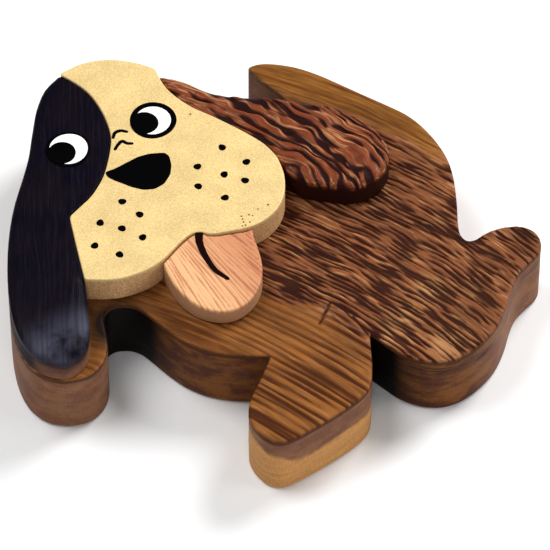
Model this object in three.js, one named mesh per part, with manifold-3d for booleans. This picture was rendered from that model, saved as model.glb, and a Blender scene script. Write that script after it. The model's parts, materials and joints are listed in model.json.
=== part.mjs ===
// A wooden puzzle box in the shape of a sitting dog, lying flat on its back. Millimetres, +Z up.
//
// The thick body block is hollowed out under the belly. A thin lid of the same silhouette lies on
// the block and carries the head: a face plate, a dark left ear on a backing and a carved right ear.
// The lid turns on a dowel hidden under the face. A screw and a washer in the underside hold it
// down, three pairs of magnets hold it shut, and the tongue is the key: its forked tenon straddles a
// lock pin until the tongue is pulled out of the mouth, and then the pin can follow its arc slot.
//
// +X runs from the chest to the dog's back, +Y from the feet to the crown of the head. The outlines
// are drawn round the middle of the silhouette, and the origin is the middle of the underside.
import * as THREE from "three";
import { mergeVertices } from "three/addons/utils/BufferGeometryUtils.js";
import Module from "manifold-3d";

const wasm = await Module();
wasm.setup();

// Driving dimensions, in millimetres and degrees.
const BLOCK_HEIGHT = 20; // the hollowed block
const SEAM = 0.15; // the sliding seam between the block and the lid
const BODY_HEIGHT = 22; // the block and the lid together
const HEAD_HEIGHT = 31; // the top of the face
const GLUE = 0.05; // a glue line between two flat faces
const EDGE_GAP = 0.25; // a glue line between two sawn edges
const EAR_BACKING_TOP = 27; // where the black ear sits on its backing
const RIGHT_EAR_TOP = 30.6;
const CAVITY_FLOOR = 4;
const FELT = 1.2;
const SPACING = 2; // between two points of an outline

const PIVOT = [-21, 40.5];
const PIVOT_RADIUS = 5;
const PIVOT_TOP = 28;
const RUNNING = 0.1; // radial clearance of the dowel in the block
const COUNTERBORE = { radius: 8, depth: 4 };
const WASHER = { radius: 7, bore: 2.3, thickness: 1.1 };
const SCREW = { headRadius: 3.8, headHeight: 1.5, radius: 1.9, length: 13 };
const COVER_THICKNESS = 0.9;

const LOCK_PIN = [-14.5, 20];
const LOCK_PIN_RADIUS = 2;
const LOCK_PIN_FOOT = 9;
const LID_TURN = 100;
const SLOT_WIDTH = 5;

const MAGNET = { radius: 4, thickness: 1, clearance: 0.1 };
const MAGNET_PLACES = [
  [52.5, -34.2], // the tail
  [-20, -45], // the front foot
  [39.8, 46.5], // the shoulder
];

// The tongue slides along its own long axis, down out of the mouth.
const TONGUE_AXIS = THREE.MathUtils.degToRad(-101);
const TONGUE_TRAVEL = 13;
const TONGUE_TIP_TOP = 27.8;
const TONGUE_MOUTH_TOP = 30.6;
const TENON = { width: 13, height: 3, below: 16, above: 10, bottom: 22.3 };
const FORK_WIDTH = 5;
const BRAD = { radius: 0.7, rebate: 1.6, along: 6 };

// --- Outlines. Each run is a smooth curve through its points. ---

const CROWN = [[5, 68], [1.5, 73], [-4, 78], [-11, 81], [-18.5, 81.3]];
const EAR_SIDE = [
  [-18.5, 81.3], [-24.5, 79.3], [-30.3, 74.6], [-36.3, 67.6], [-42, 60.6], [-48, 54.6],
  [-54.7, 48], [-61.3, 40], [-67.4, 31], [-72.5, 22], [-76, 13.5], [-77.2, 6], [-75.5, -0.5],
  [-71.5, -4.7],
];
const EAR_FOOT = [
  [-71.5, -4.7], [-66, -6.7], [-60.5, -5.6], [-56.3, -2], [-53.3, 3.5], [-51.5, 7.8],
  [-48.5, 9.6], [-45.2, 8.8], [-42, 6], [-40.6, 1.5],
];
const CHEST = [[-40.6, 1.5], [-39.4, -5], [-37.4, -12], [-33.5, -18.5], [-28, -23.8], [-20.7, -28.8]];
const FRONT_LEG = [
  [-20.7, -28.8], [-28, -34], [-34, -38.3], [-37.4, -43], [-38, -48], [-37, -52], [-34.3, -54.8],
  [-28, -55.4], [-18, -55.2], [-9, -54.2], [-4.8, -52.8], [-2, -50], [1, -45.8], [3.8, -41],
  [6.2, -37.2],
];
const HIND_LEG = [
  [6.2, -37.2], [7.3, -42], [9, -47.8], [12.3, -53], [17, -56.7], [22.5, -58], [29, -57.3],
  [36, -55], [42, -51], [47.5, -46.2], [52, -43.2], [57, -41.7],
];
const TAIL = [
  [57, -41.7], [61.2, -40.4], [63.8, -37], [64, -33.2], [61.8, -29.8], [57.5, -27.6],
  [52.5, -26.6], [48.6, -26.9], [46.6, -26], [46.4, -23], [48.7, -18.6],
];
const BACK = [
  [48.7, -18.6], [51.8, -13.9], [54.5, -9.3], [57, -4.6], [59, 0.8], [60, 7], [60, 14],
  [58.8, 20.6], [56, 27], [52.5, 34.2], [49.3, 41], [46.2, 47.2], [42.5, 52.8], [38, 57.3],
  [34.3, 59.7], [30.9, 60.2],
];
const NECK_NOTCH = [[30.9, 60.2], [31.2, 56], [32.3, 50.5], [33.4, 45], [33.4, 40.5], [31, 38.3]];
const NAPE = [
  [31, 38.3], [28, 40.7], [24.5, 43.6], [21, 46.3], [17.5, 49.2], [14.3, 52.7], [11.2, 57.6],
  [8, 63], [5, 68],
];

// The edge that the black eye patch and the left ear share with the face, from the crown down.
const PATCH_EDGE = [
  [-18.5, 81.3], [-16.5, 76], [-15.4, 71], [-15.5, 66], [-16.6, 60], [-18.8, 54], [-22.5, 49],
  [-27.3, 44], [-30.6, 41.5], [-35, 39], [-39.5, 37.6], [-43.8, 36.3],
];
const CHEEK_EDGE = [[-43.8, 36.3], [-46.8, 29], [-50, 21], [-52.2, 15.4]];
const CHIN = [
  [-52.2, 15.4], [-46, 11.3], [-40.5, 9.4], [-35, 8.8], [-30, 9.6], [-24, 11.6], [-19.3, 12.6],
  [-16.6, 11.6],
];
const MUZZLE = [
  [-16.6, 11.6], [-14.8, 9.4], [-10, 7.4], [-5, 5.6], [-0.3, 5.2], [4.2, 6.2], [8, 8.3],
  [11.2, 11.6], [14, 16.4], [15.6, 22],
];
// The edge that the right ear shares with the face, from the jowl up to the crown.
const TEMPLE_EDGE = [
  [15.6, 22], [15.3, 27.5], [13.6, 33], [11.2, 39], [8.6, 44.8], [6, 50], [4.3, 55.5],
  [3.7, 60.5], [4.2, 64.5], [5, 68],
];
const LEFT_EAR_INNER = [[-71.5, -4.7], [-66.5, -5], [-62, -1.8], [-58.6, 3], [-55.5, 8.8], [-52.2, 15.4]];
const RIGHT_EAR_FREE = [
  [28, 40.7], [34.5, 34], [38.3, 31], [41, 26.8], [43, 22], [44.4, 16.4], [44.4, 10.8],
  [42.7, 6.2], [39.5, 2.9], [35.5, 1.3], [31, 1], [26.6, 2.5], [22.5, 6], [18.8, 9.7], [16.7, 13.4],
  [16, 17.5], [15.9, 22],
];
const TONGUE = [
  [-30, 14], [-31, 9], [-31.8, 4.5], [-32.1, 0.5], [-31.6, -3.7], [-30.4, -7.3], [-28.3, -10.4],
  [-25.3, -12.9], [-21.5, -14.1], [-17.3, -13.6], [-13.4, -11.8], [-10.3, -9], [-8, -5.6],
  [-6.3, -1.2], [-5, 3.3], [-4, 9],
];
const CAVITY = [
  [-28, -6], [-17, -19], [-2, -27], [13, -29], [28, -37], [38, -33], [42.5, -18], [49, 0],
  [50.5, 15], [45, 27], [34, 31], [20, 29], [6, 20], [-4, 7], [-16, 4],
];

const vectors = (points) => points.map(([x, y]) => new THREE.Vector2(x, y));

// A smooth run through some points, at even spacing and without its last point.
function run(points) {
  const curve = new THREE.SplineCurve(vectors(points));
  return curve.getSpacedPoints(Math.round(curve.getLength() / SPACING)).slice(0, -1);
}

// The same run, moved sideways by a distance: to the left of its direction of travel.
function besideRun(points, distance) {
  const sampled = run(points);
  return sampled.map((p, i) => {
    const ahead = sampled[Math.min(i + 1, sampled.length - 1)];
    const behind = sampled[Math.max(i - 1, 0)];
    const along = ahead.clone().sub(behind).normalize();
    return new THREE.Vector2(p.x - along.y * distance, p.y + along.x * distance);
  });
}

const reversed = (points) => [...points].reverse();
const circle = ([x, y], radius, sides = 40) =>
  new THREE.Shape(
    Array.from({ length: sides }, (_, i) => {
      const angle = (2 * Math.PI * i) / sides;
      return new THREE.Vector2(x + radius * Math.cos(angle), y + radius * Math.sin(angle));
    }),
  );

// A flat piece of a constant outline between two heights.
function slab(shape, bottom, top) {
  const settings = { depth: top - bottom, bevelEnabled: false, curveSegments: 10 };
  return new THREE.ExtrudeGeometry(shape, settings).translate(0, 0, bottom);
}

const disc = (centre, radius, bottom, top, sides) => slab(circle(centre, radius, sides), bottom, top);

// A straight bar along the tongue's axis: from one distance to another past the lock pin, positive
// towards the tip of the tongue.
function tongueBar(width, from, to, bottom, top, aside = 0) {
  const bar = new THREE.BoxGeometry(to - from, width, top - bottom);
  bar.translate((from + to) / 2, aside, (bottom + top) / 2);
  return bar.rotateZ(TONGUE_AXIS).translate(...LOCK_PIN, 0);
}

// --- Joining and cutting. ---

function solidOf(geometry) {
  const bare = geometry.clone();
  bare.deleteAttribute("normal");
  bare.deleteAttribute("uv");
  const merged = mergeVertices(bare, 1e-4);
  return new wasm.Manifold(
    new wasm.Mesh({
      numProp: 3,
      vertProperties: merged.attributes.position.array,
      triVerts: new Uint32Array(merged.index.array),
    }),
  );
}

function geometryOf(solid) {
  const { vertProperties, triVerts, numProp, numVert } = solid.getMesh();
  const positions = new Float32Array(numVert * 3);
  for (let i = 0; i < numVert; i++) {
    positions.set(vertProperties.subarray(i * numProp, i * numProp + 3), i * 3);
  }
  const geometry = new THREE.BufferGeometry();
  geometry.setAttribute("position", new THREE.BufferAttribute(positions, 3));
  geometry.setIndex(new THREE.BufferAttribute(new Uint32Array(triVerts), 1));
  geometry.computeVertexNormals();
  return geometry;
}

const cut = (geometry, ...tools) =>
  geometryOf(tools.reduce((left, tool) => left.subtract(solidOf(tool)), solidOf(geometry)));
const join = (geometry, ...others) =>
  geometryOf(others.reduce((sum, other) => sum.add(solidOf(other)), solidOf(geometry)));

// --- Shared shapes. ---

const silhouette = new THREE.Shape(
  [CROWN, EAR_SIDE, EAR_FOOT, CHEST, FRONT_LEG, HIND_LEG, TAIL, BACK, NECK_NOTCH, NAPE].flatMap(run),
);
const cavityShape = new THREE.Shape(run([...CAVITY, CAVITY[0]]));
const faceShape = new THREE.Shape([
  ...run(PATCH_EDGE), ...run(CHEEK_EDGE), ...run(CHIN), ...run(MUZZLE), ...run(TEMPLE_EDGE),
  ...run(CROWN),
]);
const leftEarShape = new THREE.Shape([
  ...run(EAR_SIDE),
  ...run(LEFT_EAR_INNER),
  ...besideRun(reversed(CHEEK_EDGE), EDGE_GAP),
  ...besideRun(reversed(PATCH_EDGE), EDGE_GAP),
]);
const rightEarShape = new THREE.Shape([
  ...run(RIGHT_EAR_FREE),
  ...besideRun(TEMPLE_EDGE, -EDGE_GAP).slice(1),
  ...reversed(NAPE).slice(1, -2).map(([x, y]) => new THREE.Vector2(x, y)),
]);

// The arc that the lock pin follows under the face as the lid turns, as a slot with round ends.
function lockSlot(bottom, top) {
  const [px, py] = PIVOT;
  const radius = Math.hypot(LOCK_PIN[0] - px, LOCK_PIN[1] - py);
  const from = Math.atan2(LOCK_PIN[1] - py, LOCK_PIN[0] - px);
  const to = from + THREE.MathUtils.degToRad(LID_TURN);
  const half = SLOT_WIDTH / 2;
  const end = (angle) => [px + radius * Math.cos(angle), py + radius * Math.sin(angle)];
  const slot = new THREE.Shape();
  slot.absarc(px, py, radius + half, from, to, false);
  slot.absarc(...end(to), half, to, to + Math.PI, false);
  slot.absarc(px, py, radius - half, to, from, true);
  slot.absarc(...end(from), half, from + Math.PI, from + 2 * Math.PI, false);
  const settings = { depth: top - bottom, bevelEnabled: false, curveSegments: 16 };
  return new THREE.ExtrudeGeometry(slot, settings).translate(0, 0, bottom);
}

// --- The body block and what stays with it. ---

function bodyBlock() {
  const pockets = MAGNET_PLACES.map((place) =>
    disc(place, MAGNET.radius + MAGNET.clearance, BLOCK_HEIGHT - MAGNET.thickness - MAGNET.clearance,
      BLOCK_HEIGHT + 1));
  return cut(
    slab(silhouette, 0, BLOCK_HEIGHT),
    slab(cavityShape, CAVITY_FLOOR, BLOCK_HEIGHT + 1),
    disc(PIVOT, PIVOT_RADIUS + RUNNING, -1, BLOCK_HEIGHT + 1),
    disc(PIVOT, COUNTERBORE.radius, -1, COUNTERBORE.depth),
    disc(LOCK_PIN, LOCK_PIN_RADIUS + GLUE, LOCK_PIN_FOOT, BLOCK_HEIGHT + 1),
    ...pockets,
  );
}

function feltFloor() {
  const edge = besideRun([...CAVITY, CAVITY[0]], EDGE_GAP);
  return slab(new THREE.Shape(edge), CAVITY_FLOOR + GLUE, CAVITY_FLOOR + GLUE + FELT);
}

// The pin ends just under the tenon of the tongue, so that the lid can be turned with the tongue in.
const lockPin = () =>
  disc(LOCK_PIN, LOCK_PIN_RADIUS, LOCK_PIN_FOOT + GLUE, BODY_HEIGHT - GLUE, 24);

const blockMagnet = (place) =>
  disc(place, MAGNET.radius, BLOCK_HEIGHT - MAGNET.thickness - GLUE, BLOCK_HEIGHT - GLUE);

const coverDisc = () => disc(PIVOT, COUNTERBORE.radius - EDGE_GAP, 0, COVER_THICKNESS);

// --- The lid and what is fixed to it. ---

function lidPlate() {
  const bottom = BLOCK_HEIGHT + SEAM;
  const pockets = MAGNET_PLACES.map((place) =>
    disc(place, MAGNET.radius + MAGNET.clearance, bottom - 1,
      bottom + MAGNET.thickness + MAGNET.clearance));
  return cut(
    slab(silhouette, bottom, BODY_HEIGHT),
    disc(PIVOT, PIVOT_RADIUS + GLUE, bottom - 1, BODY_HEIGHT + 1),
    lockSlot(bottom - 1, BODY_HEIGHT + 1),
    ...pockets,
  );
}

const lidMagnet = (place) =>
  disc(place, MAGNET.radius, BLOCK_HEIGHT + SEAM + GLUE, BLOCK_HEIGHT + SEAM + GLUE + MAGNET.thickness);

// The channel in the underside of the face that the tenon of the tongue slides in.
const tenonChannel = () =>
  tongueBar(TENON.width + 2 * EDGE_GAP, -TENON.above - 1, 24, BODY_HEIGHT - 1,
    TENON.bottom + TENON.height + EDGE_GAP);

function facePlate() {
  return cut(
    slab(faceShape, BODY_HEIGHT + GLUE, HEAD_HEIGHT),
    disc(PIVOT, PIVOT_RADIUS + GLUE, BODY_HEIGHT - 1, PIVOT_TOP + GLUE),
    lockSlot(BODY_HEIGHT - 1, TENON.bottom + TENON.height + EDGE_GAP),
    tenonChannel(),
    disc(bradPlace(), BRAD.radius + GLUE, BODY_HEIGHT - 1, HEAD_HEIGHT - 2, 16),
  );
}

// The brad stands in the rebate of the tenon, and stops the tongue when it has come far enough out.
function bradPlace() {
  const aside = (TENON.width - BRAD.rebate) / 2;
  const place = new THREE.Vector2(BRAD.along, aside).rotateAround(new THREE.Vector2(), TONGUE_AXIS);
  return [LOCK_PIN[0] + place.x, LOCK_PIN[1] + place.y];
}

const brad = () => disc(bradPlace(), BRAD.radius, BODY_HEIGHT + EDGE_GAP, HEAD_HEIGHT - 2 - GLUE, 12);

const leftEarBacking = () => slab(leftEarShape, BODY_HEIGHT + GLUE, EAR_BACKING_TOP);
const leftEar = () => slab(leftEarShape, EAR_BACKING_TOP + GLUE, HEAD_HEIGHT);
const rightEar = () => slab(rightEarShape, BODY_HEIGHT + GLUE, RIGHT_EAR_TOP);

function pivotDowel() {
  const foot = COUNTERBORE.depth + GLUE;
  return cut(
    disc(PIVOT, PIVOT_RADIUS, foot, PIVOT_TOP),
    disc(PIVOT, SCREW.radius + GLUE, foot - 1, foot + SCREW.length + 1, 16),
  );
}

const washerBottom = COUNTERBORE.depth - GLUE - WASHER.thickness;

function washer() {
  return cut(
    disc(PIVOT, WASHER.radius, washerBottom, washerBottom + WASHER.thickness),
    disc(PIVOT, WASHER.bore, washerBottom - 1, washerBottom + WASHER.thickness + 1, 24),
  );
}

// A countersunk slot for the driver crosses the head.
function pivotScrew() {
  const headTop = washerBottom - GLUE;
  const headBottom = headTop - SCREW.headHeight;
  const driverSlot = new THREE.BoxGeometry(2 * SCREW.headRadius + 1, 1, 1.4);
  driverSlot.translate(...PIVOT, headBottom);
  return cut(
    join(
      disc(PIVOT, SCREW.headRadius, headBottom, headTop, 24),
      disc(PIVOT, SCREW.radius, headTop - 0.5, headTop + SCREW.length, 16),
    ),
    driverSlot,
  );
}

// --- The tongue, which is the key. ---

// The top falls from the mouth to the tip, and the mortise underneath takes the tenon.
function tongue() {
  const rise = Math.atan2(TONGUE_MOUTH_TOP - TONGUE_TIP_TOP, 24);
  const planedOff = new THREE.BoxGeometry(90, 60, 20);
  planedOff.translate(0, 0, 10).rotateY(rise).translate(9, 0, TONGUE_MOUTH_TOP);
  planedOff.rotateZ(TONGUE_AXIS).translate(...LOCK_PIN, 0);
  const face = slab(faceShape, BODY_HEIGHT - 1, HEAD_HEIGHT + 1);
  return cut(
    slab(new THREE.Shape(run([...TONGUE, TONGUE[0]])), BODY_HEIGHT + EDGE_GAP, HEAD_HEIGHT),
    face.translate(0.1, -2 * EDGE_GAP, 0),
    planedOff,
    tongueBar(TENON.width + 2 * GLUE, 0, TENON.above + TENON.below, BODY_HEIGHT,
      TENON.bottom + TENON.height + GLUE),
  );
}

function tenon() {
  const top = TENON.bottom + TENON.height;
  const length = TENON.above + TENON.below;
  const slack = BRAD.radius + EDGE_GAP;
  const rebate = tongueBar(BRAD.rebate + 1, BRAD.along - slack - TONGUE_TRAVEL, BRAD.along + slack,
    TENON.bottom - 1, top + 1, (TENON.width - BRAD.rebate + 1) / 2);
  return cut(
    tongueBar(TENON.width, -TENON.above, length - TENON.above - GLUE, TENON.bottom, top),
    tongueBar(FORK_WIDTH, -TENON.above - 1, FORK_WIDTH / 2, TENON.bottom - 1, top + 1),
    rebate,
  );
}

// --- Materials and assembly. ---

const finish = (color, roughness, metalness = 0) =>
  new THREE.MeshStandardMaterial({ color, roughness, metalness });

const FINISHES = {
  bodyWood: finish(0x6b4426, 0.6),
  lidWood: finish(0x7a5230, 0.65),
  faceWood: finish(0xe6c98a, 0.6),
  blackStain: finish(0x1b1a26, 0.45),
  darkWood: finish(0x4a2417, 0.5),
  tongueWood: finish(0xd79a6a, 0.6),
  paleWood: finish(0xc9a877, 0.7),
  felt: finish(0x5a1420, 0.95),
  cork: finish(0x9a7350, 0.9),
  nickel: finish(0xc4c4c0, 0.25, 1),
  steel: finish(0xa9a9ab, 0.35, 1),
};

const dog = new THREE.Group();

function add(name, geometry, material) {
  const mesh = new THREE.Mesh(geometry, material);
  mesh.name = name;
  dog.add(mesh);
}

add("body_block", bodyBlock(), FINISHES.bodyWood);
add("felt_floor", feltFloor(), FINISHES.felt);
add("lock_pin", lockPin(), FINISHES.paleWood);
add("pivot_washer", washer(), FINISHES.steel);
add("screw_cover", coverDisc(), FINISHES.cork);
add("lid_plate", lidPlate(), FINISHES.lidWood);
add("face_plate", facePlate(), FINISHES.faceWood);
add("left_ear_backing", leftEarBacking(), FINISHES.bodyWood);
add("left_ear", leftEar(), FINISHES.blackStain);
add("right_ear", rightEar(), FINISHES.darkWood);
add("pivot_dowel", pivotDowel(), FINISHES.paleWood);
add("pivot_screw", pivotScrew(), FINISHES.steel);
add("tongue_stop_brad", brad(), FINISHES.steel);
add("tongue", tongue(), FINISHES.tongueWood);
add("tongue_tenon", tenon(), FINISHES.paleWood);
["tail", "foot", "shoulder"].forEach((where, i) => {
  add(`block_magnet_${where}`, blockMagnet(MAGNET_PLACES[i]), FINISHES.nickel);
  add(`lid_magnet_${where}`, lidMagnet(MAGNET_PLACES[i]), FINISHES.nickel);
});

// The middle of the underside becomes the origin.
const box = new THREE.Box3().setFromObject(dog);
dog.position.set(-(box.min.x + box.max.x) / 2, -(box.min.y + box.max.y) / 2, -box.min.z);

export default dog;
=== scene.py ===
"""Looks for a dog-shaped wooden puzzle box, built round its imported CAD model.

Everything is worked out in millimetres in the CAD frame and turned into metres when a mesh is made.
The box lies on its back: +X is towards the tail, +Y towards the crown and +Z out of the face.
"""

import json
import math

import bpy
import numpy as np
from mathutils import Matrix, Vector, kdtree
from mathutils.geometry import delaunay_2d_cdt


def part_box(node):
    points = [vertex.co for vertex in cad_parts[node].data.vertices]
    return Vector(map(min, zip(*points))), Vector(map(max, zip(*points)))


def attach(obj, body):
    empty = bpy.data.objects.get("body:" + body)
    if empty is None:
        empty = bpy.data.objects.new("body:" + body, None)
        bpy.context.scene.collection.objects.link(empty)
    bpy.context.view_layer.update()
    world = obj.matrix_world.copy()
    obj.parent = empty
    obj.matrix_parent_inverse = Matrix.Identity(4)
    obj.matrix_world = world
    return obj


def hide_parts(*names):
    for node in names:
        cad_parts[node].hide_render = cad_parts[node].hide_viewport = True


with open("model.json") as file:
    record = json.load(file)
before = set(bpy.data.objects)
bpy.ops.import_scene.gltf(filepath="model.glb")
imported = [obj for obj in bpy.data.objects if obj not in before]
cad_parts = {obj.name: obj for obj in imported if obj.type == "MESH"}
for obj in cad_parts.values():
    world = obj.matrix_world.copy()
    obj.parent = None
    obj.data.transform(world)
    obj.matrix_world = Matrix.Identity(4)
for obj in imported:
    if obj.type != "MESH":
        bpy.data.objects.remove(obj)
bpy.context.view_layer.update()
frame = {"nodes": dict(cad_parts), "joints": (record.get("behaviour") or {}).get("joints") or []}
MM = 0.001

# The camera looks down over the feet, with a long lens.
VIEW_AZIMUTH = -34
VIEW_ELEVATION = 52
VIEW_DISTANCE = 1388.9
VIEW_LENS = 327.3
VIEW_TARGET = (6.5, -11.7, 12)

# Heights from the CAD nodes.
BLOCK_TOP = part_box("body_block")[1].z / MM
LID_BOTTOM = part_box("lid_plate")[0].z / MM
LID_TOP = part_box("lid_plate")[1].z / MM
FACE_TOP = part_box("face_plate")[1].z / MM
EAR_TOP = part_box("right_ear")[1].z / MM

# Which way the grain runs, in degrees from +X, and how fast it turns or spreads along its way.
BODY_GRAIN, BODY_BEND = -60, 0.0022
EAR_GRAIN, EAR_BEND = -79, 0.0048
BLACK_GRAIN = -122
TONGUE_GRAIN, TONGUE_FAN, TONGUE_CENTRE = -85, 0.014, (-12, -17)

# How deep the grain is cut into each top, and how far and how deep each top rounds off at its rim.
LID_GROOVE, LID_ROUND = 0.5, (1.5, 0.6)
EAR_GROOVE, EAR_ROUND = 0.75, (3.4, 1.7)
TONGUE_GROOVE = 0.14
BLACK_GROOVE = 0.12

# Where one kind of wood meets another on the lid, as (x, y) with y rising. Then spots of pale wood
# and spots of painted shade, as (x, y, radius), and scars, each from a point to a point.
CHEST_LINE = [(9.8, -48.3), (8.3, -43.2), (4.3, -32.1), (-2.7, -25.3), (-7, -16)]
SAPWOOD_LINE = [(62, -5.4), (58.5, 3.8), (51, 18.6), (45, 27.6), (38, 37.6), (32, 48)]
PALE_PATCHES = [(34.5, -46, 4), (16.5, -53, 4), (28, -64, 5), (24, -50, 4)]
# Painted shade: a dark spot on the ledge of the lid beside the black ear's foot.
LID_SHADE_SPOT = (-43, -8, 8)
# Painted shade, near black, in the crease by the neck and in the notch between the legs.
NECK_SHADE_SPOT, LEG_SHADE_SPOT = (-38, -6, 10), (13, -52, 10)
SCARS = [((9.2, -34.6), (3.0, -38.8)), ((11.8, -49.2), (11.9, -41.9))]

# The painted details and the drilled pits, as (x, y) or (x, y, radius) from the middle of the face.
PAINT = 0.1
EYES = [
    ("right", (12.4, 9.0, 6.6), (12.3, 8.9, 5.05), (9.8, 9.4, 3.95)),
    ("left", (-13.0, 13.4, 6.3), (-12.8, 13.4, 5.4), (-15.1, 13.2, 3.9)),
]
BROWS = [
    [(-0.3, 9.9), (1.1, 11.1), (2.8, 10.9), (4.1, 9.6)],
    [(-2.1, 6.1), (-0.6, 7.0), (1.2, 7.4), (1.8, 6.1), (3.0, 5.2)],
]
NOSE = [
    (-8.9, 0.8), (-6, 0.3), (-2.1, 0.3), (1.6, 0.3), (4.9, -0.5), (8.7, -2.6), (9.1, -4.4), (7.9, -7.3),
    (5.8, -10), (2.5, -11.9), (-0.7, -12), (-3.5, -10.5), (-5.6, -7.9), (-7.1, -5.3), (-8.3, -3.3),
    (-9.3, -1),
]
WHISKER_DOTS = [
    (23, -10), (25.7, -18.1), (13.5, -11.9), (18.1, -18.4), (21.7, -23.4), (9.8, -17.9), (13.7, -25.4),
    (-10.6, -10.7), (-9.1, -17.2), (-19.7, -13.6), (-15.8, -18.6), (-12.8, -24.4), (-25.3, -19.5),
    (-21.3, -25.9),
]
FACE_PITS = [
    (22.3, 5, 0.35), (13.8, -33.4, 0.3), (13.5, -34.4, 0.3), (13.2, -35.4, 0.3), (13, -36.6, 0.3),
    (12.1, -36.4, 0.25), (15.8, -34.1, 0.3), (16.5, -34.9, 0.25), (14.6, -36.4, 0.3), (19, -33.8, 0.25),
    (22.2, -34.1, 0.35),
]
TONGUE_LINE = [(1.9, -30.6), (-0.2, -33.4), (-1.3, -36.9), (-1.8, -40.5), (-1.7, -44.2), (-0.4, -47.9)]

# Area lights as (name, place, size, power), in metres and watts.
LIGHTS = [
    ("key", (0.65, 0.1, 0.65), 0.4, 7),
    ("top", (-0.25, 0.3, 0.8), 0.5, 4.5),
    ("side", (0.6, -0.6, 0.3), 0.4, 2),
    ("fill", (-0.4, -0.7, 0.5), 0.5, 1.6),
]
AMBIENT = 0.2

# Room left round the tenon in the face, and round the pins and the tenon in their own pockets.
TENON_ROOM = 0.25
PIN_ROOM = 0.05

SHARP_ANGLE = math.radians(50)


# --- Smooth noise, the same on each run. ---


def value_noise(x, y, seed):
    """Smooth noise from 0 to 1 with one bump per unit."""
    column, row = np.floor(x).astype(np.int64), np.floor(y).astype(np.int64)
    u, v = x - column, y - row
    u, v = u * u * (3 - 2 * u), v * v * (3 - 2 * v)

    def corner(i, j):
        # Large odd factors and shifts scatter the bits, so that neighbours have nothing in common.
        mixed = (column + i) * 374761393 + (row + j) * 668265263 + seed * 974634777
        mixed = (mixed ^ (mixed >> 13)) * 1274126177
        return ((mixed ^ (mixed >> 16)) & 0xFFFF) / 65535

    low = corner(0, 0) * (1 - u) + corner(1, 0) * u
    high = corner(0, 1) * (1 - u) + corner(1, 1) * u
    return low * (1 - v) + high * v


def layered_noise(x, y, seed, layers=3):
    total = sum(value_noise(x * 2**k, y * 2**k, seed + k) / 2**k for k in range(layers))
    return total / sum(1 / 2**k for k in range(layers))


def smoothstep(low, high, x):
    t = np.clip((x - low) / (high - low), 0, 1)
    return t * t * (3 - 2 * t)


def grain_axes(x, y, degrees):
    """Distance along the grain and across it."""
    c, s = math.cos(math.radians(degrees)), math.sin(math.radians(degrees))
    return x * c + y * s, y * c - x * s


# --- Outlines, read from the CAD nodes. ---


def merged(node):
    """A node's points in millimetres and its triangles, with points that coincide merged."""
    data = frame["nodes"][node].data
    points = np.array([v.co for v in data.vertices]) / MM
    points, index = np.unique(np.round(points, 3), axis=0, return_inverse=True)
    index = index.ravel()
    return points, np.array([[index[v] for v in p.vertices] for p in data.polygons])


def loops(node, *heights):
    """Closed outlines, seen from above, of the flat faces at those heights, largest first."""
    points, triangles = merged(node)
    z = points[triangles][:, :, 2]
    level = np.any([np.abs(z - height).max(axis=1) < 0.02 for height in heights], axis=0)
    points, index = np.unique(np.round(points[:, :2], 2), axis=0, return_inverse=True)
    corners = index.ravel()[triangles[level]]
    edges = {(a, b) for t in corners for a, b in zip(t, np.roll(t, -1)) if a != b}
    following = {a: b for a, b in edges if (b, a) not in edges}
    found = []
    while following:
        loop = [next(iter(following))]
        while loop[-1] in following:
            loop.append(following.pop(loop[-1]))
        found.append(points[loop[:-1]])
    return sorted(found, key=lambda loop: -np.ptp(loop[:, 0]) * np.ptp(loop[:, 1]))


def area(loop):
    x, y = loop[:, 0], loop[:, 1]
    return 0.5 * np.sum(x * np.roll(y, -1) - y * np.roll(x, -1))


def softened(loop, step=0.4, blur=0.8):
    """The loop, counter-clockwise, at even steps, with its facets and corners blurred."""
    loop = loop[:, :2]
    if area(loop) < 0:
        loop = loop[::-1]
    closed = np.vstack([loop, loop[:1]])
    lengths = np.r_[0, np.cumsum(np.linalg.norm(np.diff(closed, axis=0), axis=1))]
    count = int(round(lengths[-1] / step))
    places = np.arange(count) * lengths[-1] / count
    even = np.stack([np.interp(places, lengths, closed[:, k]) for k in (0, 1)], axis=1)
    reach = int(math.ceil(3 * blur / step))
    offsets = np.arange(-reach, reach + 1)
    weights = np.exp(-0.5 * (offsets * step / blur) ** 2)
    return sum(w * np.roll(even, -k, axis=0) for k, w in zip(offsets, weights)) / weights.sum()


def outward(loop):
    """Unit normals that point out of a counter-clockwise loop."""
    along = np.roll(loop, -1, axis=0) - np.roll(loop, 1, axis=0)
    normals = np.stack([along[:, 1], -along[:, 0]], axis=1)
    return normals / np.linalg.norm(normals, axis=1, keepdims=True)


class Border:
    """Distances to a closed outline, or to the part of it that keep marks."""

    def __init__(self, loop, keep=None):
        self.loop = loop
        self.chosen = np.arange(len(loop)) if keep is None else np.flatnonzero(keep)
        self.tree = kdtree.KDTree(len(self.chosen))
        for place, i in enumerate(self.chosen):
            self.tree.insert((*loop[i], 0), place)
        self.tree.balance()

    def distance(self, points):
        nearest = [self.tree.find((x, y, 0))[1] for x, y in points[:, :2]]
        index = self.chosen[np.array(nearest, int)]
        best = np.full(len(points), np.inf)
        for a, b in ((index - 1, index), (index, (index + 1) % len(self.loop))):
            start, along = self.loop[a], self.loop[b] - self.loop[a]
            t = np.sum((points[:, :2] - start) * along, axis=1) / np.sum(along * along, axis=1)
            foot = start + np.clip(t, 0, 1)[:, None] * along
            best = np.minimum(best, np.linalg.norm(points[:, :2] - foot, axis=1))
        return best


def inside(points, loop):
    """Which points lie inside a closed loop, by counting its edges on one side of them."""
    result = np.zeros(len(points), bool)
    x, y = points[:, 0], points[:, 1]
    for (x1, y1), (x2, y2) in zip(loop, np.roll(loop, -1, axis=0)):
        level = np.flatnonzero((y >= min(y1, y2)) & (y < max(y1, y2)))
        result[level] ^= x[level] < x1 + (y[level] - y1) / (y2 - y1) * (x2 - x1)
    return result


# --- Slabs of wood with a worked top. ---


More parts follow.
